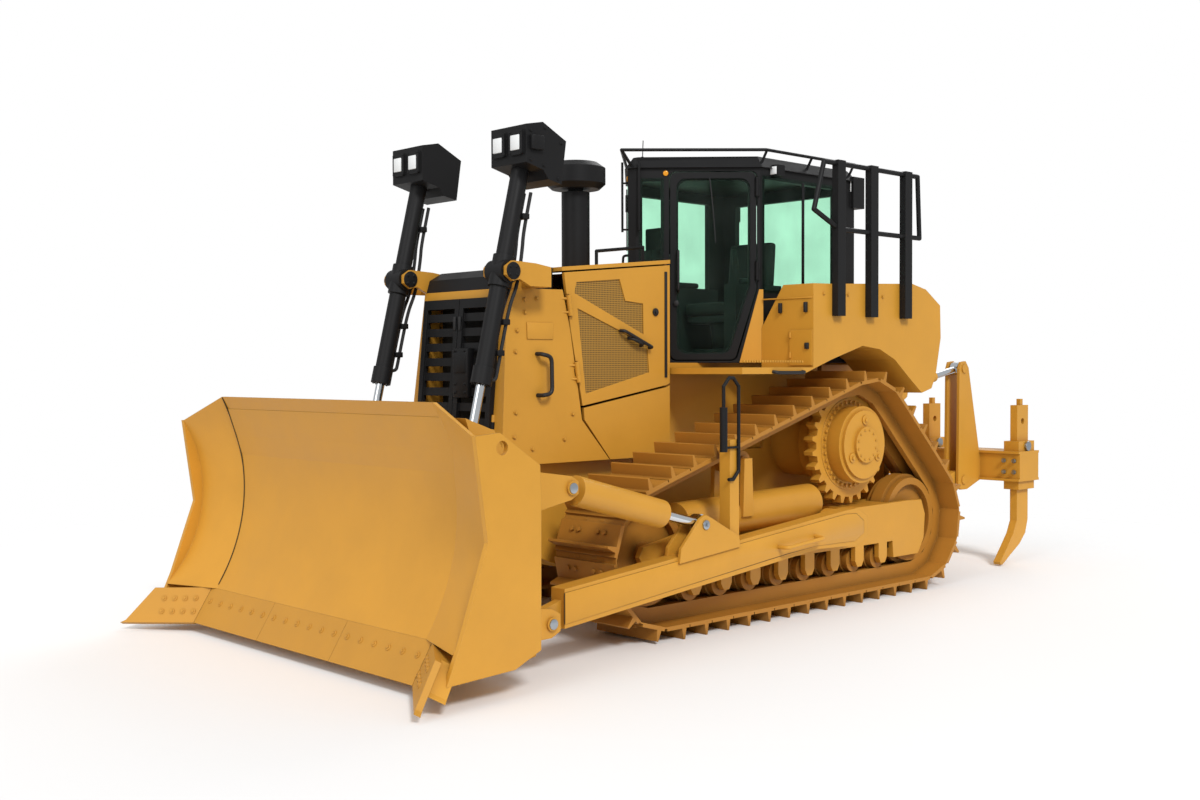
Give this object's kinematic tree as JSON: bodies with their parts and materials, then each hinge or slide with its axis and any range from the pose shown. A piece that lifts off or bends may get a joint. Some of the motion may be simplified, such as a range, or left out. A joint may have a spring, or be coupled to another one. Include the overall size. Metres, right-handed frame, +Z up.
{
  "type": "bulldozer",
  "caption": "Crawler dozer with a wide curved blade on push arms, slanted tilt brace, tall lift cylinders, high-drive tracks, a black cab and a rear ripper.",
  "frame": {"origin": "on the ground, midway between the blade's front and the ripper's back and between the two sides", "axes": "+X forward, towards the blade; +Y to the operator's left; +Z up"},
  "size_m": [8.122, 3.7516, 3.713],
  "materials": {
    "yellow_paint": "semi-gloss enamel",
    "black_paint": "satin powder coat",
    "track_steel": "painted steel, lightly rubbed",
    "edge_steel": "painted hardened steel",
    "chrome_rod": "polished",
    "glass": "tinted",
    "engine_iron": "matte",
    "seat_vinyl": "matte",
    "dark_plastic": "matte"
  },
  "bodies": {
    "machine": {"main_frame": "yellow_paint", "ripper_bracket_left": "yellow_paint", "ripper_bracket_right": "yellow_paint", "engine_block": "engine_iron", "track_frame_left": "yellow_paint", "track_frame_right": "yellow_paint", "track_left": "track_steel", "track_right": "track_steel", "rollers_left": "track_steel", "rollers_right": "track_steel", "final_drive_left": "yellow_paint", "final_drive_right": "yellow_paint", "radiator_guard": "yellow_paint", "radiator_core": "engine_iron", "hood": "yellow_paint", "nose_cover": "black_paint", "side_panels": "yellow_paint", "exhaust_stack": "black_paint", "lift_yokes": "yellow_paint", "cab_frame": "black_paint", "cab_glass": "glass", "seat": "seat_vinyl", "console": "dark_plastic", "fender_left": "yellow_paint", "fender_right": "yellow_paint", "fuel_tank": "yellow_paint", "guard_rails": "black_paint"},
    "push_arm_right": {"push_arm_right": "yellow_paint", "arm_handle_right": "black_paint"},
    "push_arm_left": {"push_arm_left": "yellow_paint", "arm_handle_left": "black_paint"},
    "blade": {"blade": "yellow_paint", "cutting_edges": "edge_steel", "end_bits": "edge_steel"},
    "tilt_cylinder_barrel": {"tilt_cylinder_barrel": "yellow_paint"},
    "tilt_cylinder_rod": {"tilt_cylinder_rod": "chrome_rod"},
    "brace_right": {"brace_right": "yellow_paint"},
    "ripper_links": {"ripper_links": "yellow_paint"},
    "ripper_beam": {"ripper_beam": "yellow_paint", "ripper_shanks": "yellow_paint"},
    "ripper_tilt_links": {"ripper_tilt_barrels": "yellow_paint", "ripper_tilt_rods": "chrome_rod"},
    "ripper_lift_barrels": {"ripper_lift_barrels": "yellow_paint"},
    "ripper_lift_rods": {"ripper_lift_rods": "chrome_rod"},
    "lift_barrel_left": {"lift_barrel_left": "black_paint", "head_lamp_left": "black_paint"},
    "lift_rod_left": {"lift_rod_left": "chrome_rod"},
    "cab_door_left": {"cab_door_left": "black_paint", "cab_door_glass_left": "glass"},
    "engine_door_left": {"engine_door_left": "yellow_paint"},
    "grille_door_left": {"grille_door_left": "black_paint"},
    "lift_barrel_right": {"lift_barrel_right": "black_paint", "head_lamp_right": "black_paint"},
    "lift_rod_right": {"lift_rod_right": "chrome_rod"},
    "cab_door_right": {"cab_door_right": "black_paint", "cab_door_glass_right": "glass"},
    "engine_door_right": {"engine_door_right": "yellow_paint"},
    "grille_door_right": {"grille_door_right": "black_paint"}
  },
  "joints": [
    {"name": "blade_lift", "type": "hinge", "parent": "machine", "child": "push_arm_right", "pos_m": [-0.535, -1.39, 0.66], "axis": [0, 1, 0], "range_deg": [-15, 7]},
    {"name": "blade_tilt", "type": "hinge", "parent": "push_arm_right", "child": "blade", "pos_m": [2.725, -1.39, 0.32], "axis": [0.9946, 0, -0.1037], "range_deg": [-5, 5]},
    {"name": "left_arm_swing", "type": "hinge", "parent": "push_arm_right", "child": "push_arm_left", "pos_m": [-0.535, 1.39, 0.66], "axis": [0, -1, 0], "range_deg": [-4.28, 4.28]},
    {"name": "tilt_cylinder_swing", "type": "hinge", "parent": "blade", "child": "tilt_cylinder_barrel", "pos_m": [2.645, 1.485, 1.18], "axis": [0.1376, -0.9379, -0.3185], "range_deg": [-4.18, 4.18]},
    {"name": "tilt_cylinder_stroke", "type": "slide", "parent": "tilt_cylinder_barrel", "child": "tilt_cylinder_rod", "axis": [-0.9666, -0.0571, -0.2497], "range_m": [-0.0637, 0.0637]},
    {"name": "brace_swing", "type": "hinge", "parent": "push_arm_right", "child": "brace_right", "pos_m": [1.29, -1.405, 0.83], "axis": [0.2545, 0.1043, -0.9614], "range_deg": [-3.09, 3.09]},
    {"name": "lift_cylinder_swing_left", "type": "hinge", "parent": "machine", "child": "lift_barrel_left", "pos_m": [2.407, 0.6, 2.6], "axis": [0, -1, 0], "range_deg": [-2.38, 5.04]},
    {"name": "lift_cylinder_stroke_left", "type": "slide", "parent": "lift_barrel_left", "child": "lift_rod_left", "axis": [0.2339, 0, -0.9723], "range_m": [-0.8782, 0.4109]},
    {"name": "lift_cylinder_swing_right", "type": "hinge", "parent": "machine", "child": "lift_barrel_right", "pos_m": [2.407, -0.6, 2.6], "axis": [0, -1, 0], "range_deg": [-2.38, 5.04]},
    {"name": "lift_cylinder_stroke_right", "type": "slide", "parent": "lift_barrel_right", "child": "lift_rod_right", "axis": [0.2339, 0, -0.9723], "range_m": [-0.8782, 0.4109]},
    {"name": "ripper_lift", "type": "hinge", "parent": "machine", "child": "ripper_links", "pos_m": [-2.333, 0, 0.64], "axis": [0, 1, 0], "range_deg": [-27, 33]},
    {"name": "ripper_beam_level", "type": "hinge", "parent": "ripper_links", "child": "ripper_beam", "pos_m": [-3.388, 0, 0.825], "axis": [0, 1, 0], "range_deg": [-33.05, 27.05]},
    {"name": "ripper_tilt_link_swing", "type": "hinge", "parent": "machine", "child": "ripper_tilt_links", "pos_m": [-2.333, 0, 1.735], "axis": [0, 1, 0], "range_deg": [-27.05, 33.05]},
    {"name": "ripper_lift_cylinder_swing", "type": "hinge", "parent": "machine", "child": "ripper_lift_barrels", "pos_m": [-2.135, 0, 1.7], "axis": [0, -1, 0], "range_deg": [-4.55, 3.73]},
    {"name": "ripper_lift_cylinder_stroke", "type": "slide", "parent": "ripper_lift_barrels", "child": "ripper_lift_rods", "axis": [-0.6605, 0, -0.7509], "range_m": [-0.321, 0.263]},
    {"name": "cab_door_left", "type": "hinge", "parent": "machine", "child": "cab_door_left", "pos_m": [-0.14655, 0.75069, 2.72], "axis": [0, 0, 1], "range_deg": [0, 60]},
    {"name": "cab_door_right", "type": "hinge", "parent": "machine", "child": "cab_door_right", "pos_m": [-0.14655, -0.75069, 2.72], "axis": [0, 0, -1], "range_deg": [0, 60]},
    {"name": "engine_door_left", "type": "hinge", "parent": "machine", "child": "engine_door_left", "pos_m": [1.64, 0.582, 1.657], "axis": [-0.1607, 0, -0.987], "range_deg": [0, 100]},
    {"name": "engine_door_right", "type": "hinge", "parent": "machine", "child": "engine_door_right", "pos_m": [1.64, -0.582, 1.657], "axis": [0.1607, 0, 0.987], "range_deg": [0, 100]},
    {"name": "grille_door_left", "type": "hinge", "parent": "machine", "child": "grille_door_left", "pos_m": [2.37314, 0.43, 1.33], "axis": [-0.0916, 0, 0.9958], "range_deg": [0, 75]},
    {"name": "grille_door_right", "type": "hinge", "parent": "machine", "child": "grille_door_right", "pos_m": [2.37314, -0.43, 1.33], "axis": [0.0916, 0, -0.9958], "range_deg": [0, 75]}
  ],
  "couplings": [
    {"joint": "left_arm_swing", "follows": "blade_tilt", "ratio": 0.84644},
    {"joint": "tilt_cylinder_swing", "follows": "blade_tilt", "ratio": 0.82557},
    {"joint": "tilt_cylinder_stroke", "follows": "blade_tilt", "m_per_rad": 0.70729},
    {"joint": "brace_swing", "follows": "blade_tilt", "ratio": 0.60742},
    {"joint": "lift_cylinder_swing_left", "follows": "blade_lift", "ratio": -0.3327},
    {"joint": "lift_cylinder_stroke_left", "follows": "blade_lift", "m_per_rad": 3.3469},
    {"joint": "lift_cylinder_swing_right", "follows": "blade_lift", "ratio": -0.3327},
    {"joint": "lift_cylinder_stroke_right", "follows": "blade_lift", "m_per_rad": 3.3469},
    {"joint": "ripper_beam_level", "follows": "ripper_lift", "ratio": -1},
    {"joint": "ripper_tilt_link_swing", "follows": "ripper_lift", "ratio": 1},
    {"joint": "ripper_lift_cylinder_swing", "follows": "ripper_lift", "ratio": -0.13644},
    {"joint": "ripper_lift_cylinder_stroke", "follows": "ripper_lift", "m_per_rad": -0.55384}
  ]
}
